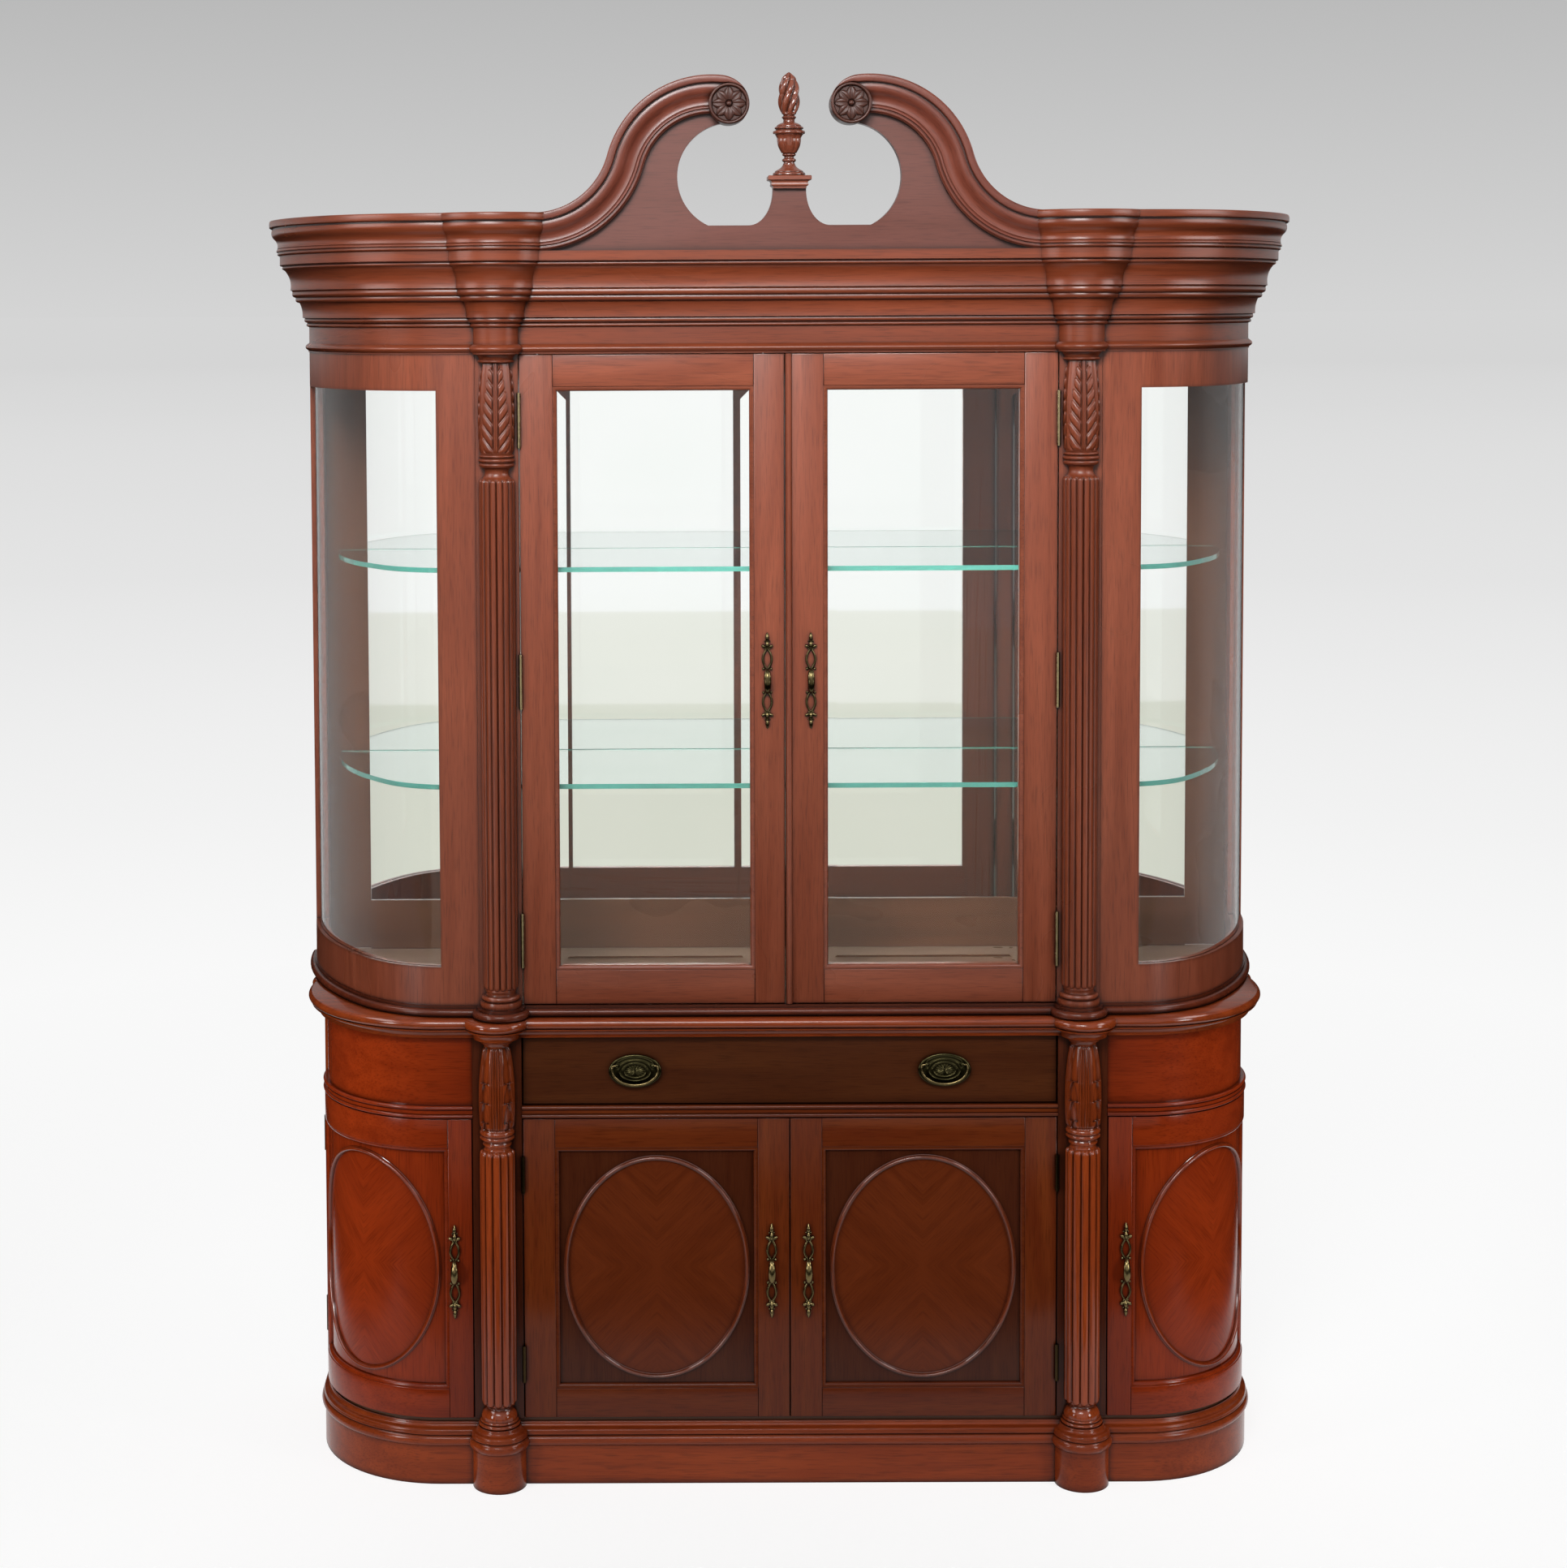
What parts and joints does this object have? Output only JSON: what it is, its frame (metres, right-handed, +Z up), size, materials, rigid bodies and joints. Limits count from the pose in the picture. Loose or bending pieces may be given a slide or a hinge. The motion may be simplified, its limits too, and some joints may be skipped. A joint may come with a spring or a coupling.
{
  "type": "china cabinet",
  "caption": "Bow-ended china cabinet with a glazed hutch, mirror back, glass shelves, swan-neck pediment and finial over a base with a drawer and oval-beaded doors",
  "frame": {"origin": "centre of the footprint box, on the floor", "axes": "+Z up, +Y towards the wall behind, +X to the viewer's right when facing the front"},
  "size_m": [1.742, 0.51, 2.271],
  "materials": {
    "hutch_wood": "satin red-brown lacquer",
    "base_wood": "satin red-brown lacquer, darker",
    "dark_wood": "dark glazed lacquer",
    "inside_wood": "matt stain",
    "clear_glass": "clear, bevelled",
    "shelf_glass": "clear, green edge",
    "mirror": "silvered",
    "antique_brass": "dark antique"
  },
  "bodies": {
    "case": {"plinth": "base_wood", "base_moulding": "base_wood", "base_floor": "inside_wood", "base_posts": "base_wood", "base_partitions": "inside_wood", "rear_posts": "base_wood", "base_sides": "base_wood", "base_back": "inside_wood", "base_shelf": "inside_wood", "waist_rail": "base_wood", "end_waist_rails": "base_wood", "end_friezes": "base_wood", "countertop": "base_wood", "base_columns": "base_wood", "hutch_columns": "hutch_wood", "hutch_moulding": "dark_wood", "hutch_floor": "inside_wood", "hutch_posts": "hutch_wood", "end_frames": "hutch_wood", "end_glasses": "clear_glass", "hutch_back": "inside_wood", "back_mirror": "mirror", "glass_shelves": "shelf_glass", "shelf_pins": "antique_brass", "hutch_ceiling": "inside_wood", "cornice": "hutch_wood", "crown_board": "inside_wood", "cornice_back": "inside_wood", "crown": "hutch_wood", "swan_necks": "hutch_wood", "tympanum": "hutch_wood", "rosettes": "hutch_wood", "finial_block": "hutch_wood", "finial": "hutch_wood", "case_hinges": "antique_brass", "drawer_runners": "inside_wood"},
    "hutch_door_left": {"hutch_door_frame_left": "hutch_wood", "hutch_door_glass_left": "clear_glass", "hutch_door_hardware_left": "antique_brass"},
    "base_door_left": {"base_door_frame_left": "base_wood", "base_door_panel_left": "base_wood", "base_door_hardware_left": "antique_brass"},
    "end_door_left": {"end_door_frame_left": "base_wood", "end_door_panel_left": "base_wood", "end_door_hardware_left": "antique_brass"},
    "hutch_door_right": {"hutch_door_frame_right": "hutch_wood", "hutch_door_glass_right": "clear_glass", "hutch_door_hardware_right": "antique_brass", "astragal": "hutch_wood"},
    "base_door_right": {"base_door_frame_right": "base_wood", "base_door_panel_right": "base_wood", "base_door_hardware_right": "antique_brass"},
    "end_door_right": {"end_door_frame_right": "base_wood", "end_door_panel_right": "base_wood", "end_door_hardware_right": "antique_brass"},
    "drawer": {"drawer_front": "base_wood", "drawer_box": "inside_wood", "drawer_plates": "antique_brass"},
    "drawer_bail_left": {"bail_left": "antique_brass"},
    "drawer_bail_right": {"bail_right": "antique_brass"}
  },
  "joints": [
    {"name": "hutch_door_left_hinge", "type": "hinge", "parent": "case", "child": "hutch_door_left", "pos_m": [-0.42825, -0.1536, 1.309], "axis": [0, 0, -1], "range_deg": [0, 100]},
    {"name": "base_door_left_hinge", "type": "hinge", "parent": "case", "child": "base_door_left", "pos_m": [-0.43075, -0.1536, 0.3535], "axis": [0, 0, -1], "range_deg": [0, 100]},
    {"name": "end_door_left_hinge", "type": "hinge", "parent": "case", "child": "end_door_left", "pos_m": [-0.77446, 0.0775, 0.3535], "axis": [0, 0, -1], "range_deg": [0, 100]},
    {"name": "hutch_door_right_hinge", "type": "hinge", "parent": "case", "child": "hutch_door_right", "pos_m": [0.42825, -0.1536, 1.309], "axis": [0, 0, 1], "range_deg": [0, 100]},
    {"name": "base_door_right_hinge", "type": "hinge", "parent": "case", "child": "base_door_right", "pos_m": [0.43075, -0.1536, 0.3535], "axis": [0, 0, 1], "range_deg": [0, 100]},
    {"name": "end_door_right_hinge", "type": "hinge", "parent": "case", "child": "end_door_right", "pos_m": [0.77446, 0.0775, 0.3535], "axis": [0, 0, 1], "range_deg": [0, 100]},
    {"name": "drawer_slide", "type": "slide", "parent": "case", "child": "drawer", "axis": [0, -1, 0], "range_m": [0, 0.28]},
    {"name": "bail_left_swing", "type": "hinge", "parent": "drawer", "child": "drawer_bail_left", "pos_m": [-0.249, -0.154, 0.687], "axis": [-1, 0, 0], "range_deg": [0, 80]},
    {"name": "bail_right_swing", "type": "hinge", "parent": "drawer", "child": "drawer_bail_right", "pos_m": [0.249, -0.154, 0.687], "axis": [-1, 0, 0], "range_deg": [0, 80]}
  ]
}
